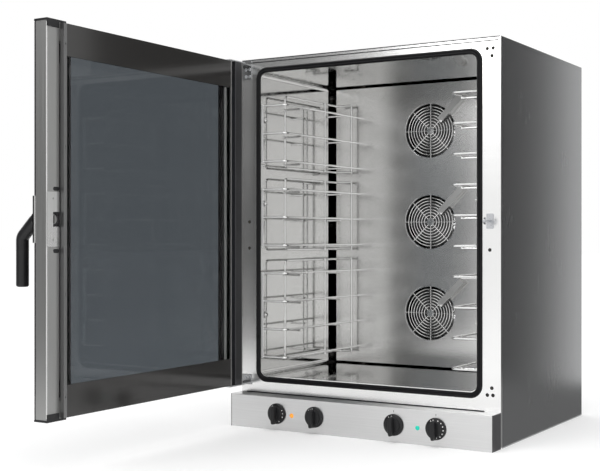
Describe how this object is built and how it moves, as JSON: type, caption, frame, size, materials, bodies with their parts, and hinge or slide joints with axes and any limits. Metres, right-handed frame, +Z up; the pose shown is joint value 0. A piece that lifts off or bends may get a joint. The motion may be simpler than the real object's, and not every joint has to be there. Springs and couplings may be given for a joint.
{
  "type": "convection oven",
  "caption": "Free-standing convection oven with hinged double-glazed door, wire tray ladders, rear fans behind a baffle, and a control panel under the door.",
  "frame": {"origin": "centre of the underside of the body", "axes": "+X to the right seen from the front, +Y to the back, +Z up; the door stands open towards -Y"},
  "size_m": [0.8513, 1.4978, 1.03],
  "materials": {
    "steel_outer": "satin stainless look, brushed",
    "steel_front": "brushed",
    "steel_mirror": "bright polished",
    "steel_inner": "satin",
    "wire": "chromed",
    "zinc_steel": "zinc plated",
    "wool": "matt",
    "silicone": "matt",
    "fan": "satin",
    "motor": "satin",
    "element": "satin",
    "copper": "satin",
    "panel_steel": "brushed",
    "black_plastic": "fine grain",
    "grey_plastic": "fine grain",
    "dark_plastic": "fine grain",
    "amber": "clear",
    "green": "clear",
    "glass_outer": "tinted, black printed border",
    "glass_inner": "clear, black printed border",
    "door_metal": "brushed",
    "dark_metal": "satin"
  },
  "bodies": {
    "oven": {"base_tray": "zinc_steel", "side_panel_left": "steel_outer", "side_panel_right": "steel_outer", "top_panel": "steel_outer", "rear_panel": "zinc_steel", "front_frame": "steel_front", "cavity_liner": "steel_mirror", "cavity_back": "steel_mirror", "insulation_jacket": "wool", "cavity_gasket": "silicone", "fan_baffle": "steel_inner", "baffle_standoffs": "zinc_steel", "fan_guards": "wire", "fan_motors": "motor", "heating_elements": "element", "humidity_spouts": "steel_inner", "water_valve": "copper", "water_pipe": "copper", "vent_pipe": "zinc_steel", "cable_gland": "black_plastic", "terminal_block": "grey_plastic", "contactor": "grey_plastic", "rack_nuts": "wire", "control_panel": "panel_steel", "panel_end_caps": "dark_plastic", "rotary_switches": "grey_plastic", "regulators": "zinc_steel", "lamp_orange": "amber", "lamp_green": "green", "striker": "zinc_steel", "hinge_bracket_upper": "steel_front", "hinge_bracket_lower": "steel_front", "hinge_screws": "zinc_steel", "rack_left_upper": "wire", "rack_left_middle": "wire", "rack_left_lower": "wire", "rack_right_upper": "wire", "rack_right_middle": "wire", "rack_right_lower": "wire"},
    "door": {"door_outer_glass": "glass_outer", "door_frame": "door_metal", "door_seal_band": "dark_metal", "door_end_caps": "black_plastic", "door_hinge_plates": "zinc_steel", "latch_plate": "door_metal", "handle_escutcheon": "door_metal"},
    "inner_pane": {"pane_glass": "glass_inner", "pane_edge_strip": "dark_metal", "pane_hinge_profile": "door_metal"},
    "handle": {"handle_lever": "black_plastic", "latch_cup": "grey_plastic"},
    "fan_wheel_top": {"fan_wheel_top": "fan"},
    "fan_wheel_middle": {"fan_wheel_middle": "fan"},
    "fan_wheel_bottom": {"fan_wheel_bottom": "fan"},
    "knob_timer": {"knob_timer": "black_plastic"},
    "knob_mode": {"knob_mode": "black_plastic"},
    "knob_humidity": {"knob_humidity": "black_plastic"},
    "knob_temperature": {"knob_temperature": "black_plastic"}
  },
  "joints": [
    {"name": "door_hinge", "type": "hinge", "parent": "oven", "child": "door", "pos_m": [-0.3813, -0.3765, 0.5655], "axis": [0, 0, 1], "range_deg": [-30, 90]},
    {"name": "pane_hinge", "type": "hinge", "parent": "door", "child": "inner_pane", "pos_m": [-0.3378, -0.4538, 0.5655], "axis": [0, 0, -1], "range_deg": [-75, 0]},
    {"name": "handle_turn", "type": "hinge", "parent": "door", "child": "handle", "pos_m": [-0.3813, -1.1193, 0.568], "axis": [1, 0, 0], "range_deg": [0, 90]},
    {"name": "fan_spin_top", "type": "hinge", "parent": "oven", "child": "fan_wheel_top", "pos_m": [0, 0.15, 0.845], "axis": [0, 1, 0], "continuous": true},
    {"name": "fan_spin_middle", "type": "hinge", "parent": "oven", "child": "fan_wheel_middle", "pos_m": [0, 0.15, 0.573], "axis": [0, 1, 0], "continuous": true},
    {"name": "fan_spin_bottom", "type": "hinge", "parent": "oven", "child": "fan_wheel_bottom", "pos_m": [0, 0.15, 0.301], "axis": [0, 1, 0], "continuous": true},
    {"name": "turn_timer", "type": "hinge", "parent": "oven", "child": "knob_timer", "pos_m": [-0.238, -0.39, 0.045], "axis": [0, 1, 0], "range_deg": [0, 300]},
    {"name": "turn_mode", "type": "hinge", "parent": "oven", "child": "knob_mode", "pos_m": [-0.119, -0.39, 0.045], "axis": [0, 1, 0], "range_deg": [0, 270]},
    {"name": "turn_humidity", "type": "hinge", "parent": "oven", "child": "knob_humidity", "pos_m": [0.119, -0.39, 0.045], "axis": [0, 1, 0], "range_deg": [0, 270]},
    {"name": "turn_temperature", "type": "hinge", "parent": "oven", "child": "knob_temperature", "pos_m": [0.238, -0.39, 0.045], "axis": [0, 1, 0], "range_deg": [0, 300]}
  ]
}
